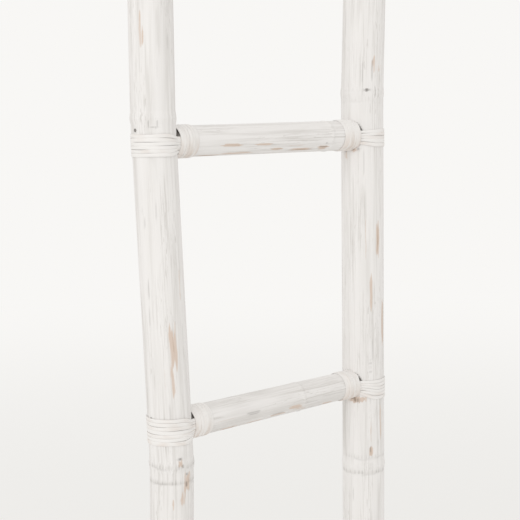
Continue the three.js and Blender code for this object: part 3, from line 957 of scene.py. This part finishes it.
def makeSaddle(joint):
    # Strips side by side: each one's rounded section is carried along the half path and back along its
    # mirror on the far side.
    rng = np.random.default_rng(100 + 10 * joint["k"] + (joint["side"] == "right"))
    widths = rng.uniform(*cane["stripWidths"], joint["strips"])
    edges = np.concatenate([[0], np.cumsum(widths)]) / widths.sum() * 2 - 1
    section, raised = caneSection()
    skins = []
    for strip in range(joint["strips"]):
        lane = edges[strip + 1] - edges[strip]
        across = (edges[strip] + edges[strip + 1]) / 2 + section * lane * cane["fill"]
        thick = cane["thickness"] * rng.uniform(*cane["stripThickness"])
        halfPath = saddleHalfPath(joint, across, raised * thick)
        local = np.concatenate([(halfPath * np.array([1, -1, 1]))[::-1], halfPath[1:]])
        length = np.linspace(-0.09, 0.09, len(local))[:, None]
        local[..., 2] += cane["stripSway"] * np.sin(length * rng.uniform(60, 120) + rng.uniform(0, 6))
        rows = toWorld(joint, local[..., 0], local[..., 1], local[..., 2])
        apart = 0.5 if joint["side"] == "right" else 0.0
        grain = np.stack([
            section * cane["width"] + 0 * length + strip * 0.02,
            raised * thick + 0 * length + 0.1 * joint["k"],
            length + 0 * section + apart,
        ], axis=-1)
        patches = waves(rng, section[None] * 0, length, [1, 1, 1], (0.02, 0.07), 1.0)
        lines = waves(rng, section[None], length, [0, 0, 0], (0.02, 0.06), 1.2)
        wear = cane["saddleWear"] * np.clip(patches, 0, 1)
        dirtAndShade = cane["saddleDirt"] * (np.abs(section) > cane["edge"]) * np.clip(lines, 0, 1)
        skins.append({"rows": rows, "marks": {"grain": grain, "wear": wear, "dirtAndShade": dirtAndShade}})
    side, number = joint["side"], joint["k"] + 1
    makePiece(f"{side}_saddle_strips_{number}", skins, [caneFinish], f"{side}_saddle_binding_{number}")


def makeCollar(joint):
    # A strip wound round the rung's end. Its near side follows the pole's face, its far side is square to
    # the rung. It rises over the saddle's tails at the sides and lies on the rung elsewhere.
    rng = np.random.default_rng(300 + 10 * joint["k"] + (joint["side"] == "right"))
    section, raised = caneSection()
    turns = cane["turns"]
    sweep = np.linspace(0, 1, 72 * turns)[:, None]
    turn = 2 * math.pi * turns * sweep + cane["firstTurn"]
    up, back = np.cos(turn), np.sin(turn) * joint["inward"]
    angle = fromTop(back, up)
    layer = (cane["thickness"] + cane["clearance"]) * window(angle, *cane["overTails"])
    over = joint["bed"] + layer + cane["thickness"]
    face = overPole(joint, over * up, cane["standOff"] * window(angle, *cane["standing"]))
    near = poleShift(joint, over * up) + np.sqrt(face ** 2 - (over * back) ** 2)
    lane = (joint["end"] - near) / (turns - 1)
    steady = np.clip((sweep * turns - 0.9) / (turns - 1.8), 0, 1)  # the end turns lie square
    wobble = cane["sway"] * np.sin(turn * 1.7 + rng.uniform(0, 6)) * np.sin(math.pi * sweep)
    u = near + lane * (0.5 + (turns - 2) * steady + section * cane["fill"]) + wobble
    onRung = rungRadiusAt(rungs[joint["k"]], joint["axis"] + joint["inward"] * u) + 0.0002
    before, soon = cane["closing"]
    held = smooth((joint["end"] - before - u) / soon)
    shown = cane["paintStep"] + (1 - cane["paintStep"]) * smooth((joint["end"] - u) / cane["paintFill"])
    thick = cane["thickness"] * shown
    radius = onRung + layer * held + raised * thick
    rows = toWorld(joint, u, radius * back, radius * up)
    under = np.clip(0.30 - up * 0.9, 0, 1) * np.clip(0.5 - 0.7 * back * joint["inward"], 0, 1)
    patches = waves(rng, turn * 0, sweep, [1, 1, 1], (0.05, 0.2), 1.0)
    wear = cane["collarUnderWear"] * under + cane["collarWear"] * np.clip(patches, 0, 1) + 0 * section
    apart = 2.0 if joint["side"] == "right" else 1.0
    grain = np.stack([
        section * cane["width"] + 0 * sweep,
        raised * 0.001 + 0 * sweep + 0.07 * joint["k"],
        sweep * 0.6 + 0 * section + apart,
    ], axis=-1)
    lines = waves(rng, section[None], sweep, [0, 0, 0], (0.04, 0.2), 1.2)
    dirtAndShade = cane["collarDirt"] * (np.abs(section) > cane["edge"]) * np.clip(lines, 0, 1)
    skin = {"rows": rows, "marks": {"grain": grain, "wear": wear, "dirtAndShade": dirtAndShade}}
    side, number = joint["side"], joint["k"] + 1
    makePiece(f"{side}_collar_turns_{number}", [skin], [caneFinish], f"{side}_collar_binding_{number}")


def makeTack(joint):
    # A small domed head and its pointed shank, turned about a line into the pole.
    low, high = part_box(f"{joint['side']}_tack_{joint['k'] + 1}")
    headRadius = (high.z - low.z) / 2
    z = (low.z + high.z) / 2
    top, tip = (low.x, high.x) if joint["side"] == "left" else (high.x, low.x)
    plan = [(0.06, 0.0), (0.35, 0.00008), (0.7, 0.00028), (0.93, 0.0006), (1.0, 0.0008), (0.93, 0.00095),
            (0.36, 0.0010), (0.34, 0.004), (0.05, abs(tip - top))]
    share, deep = np.array(plan).T[:, :, None]
    turn = np.linspace(0, 2 * math.pi, 28, endpoint=False)
    rows = np.stack([top + joint["inward"] * deep + 0 * turn, headRadius * share * np.sin(turn),
                     z + headRadius * share * np.cos(turn)], axis=-1)
    side, number = joint["side"], joint["k"] + 1
    skin = {"rows": rows, "marks": {}}
    makePiece(f"{side}_tack_head_{number}", [skin], [tackFinish], f"{side}_tack_{number}")


def finishHidden(node, finish):
    # A frame node that keeps its own shape gets a better finish.
    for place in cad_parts[node].material_slots:
        place.material = finish


for side in culms:
    for k in range(rungCount):
        joint = readJoint(side, k)
        makeSaddle(joint)
        makeCollar(joint)
        makeTack(joint)
        finishHidden(f"{side}_screw_{k + 1}", screwFinish)
        finishHidden(f"{side}_plug_{k + 1}", plugFinish)
print("bindings and tacks made")
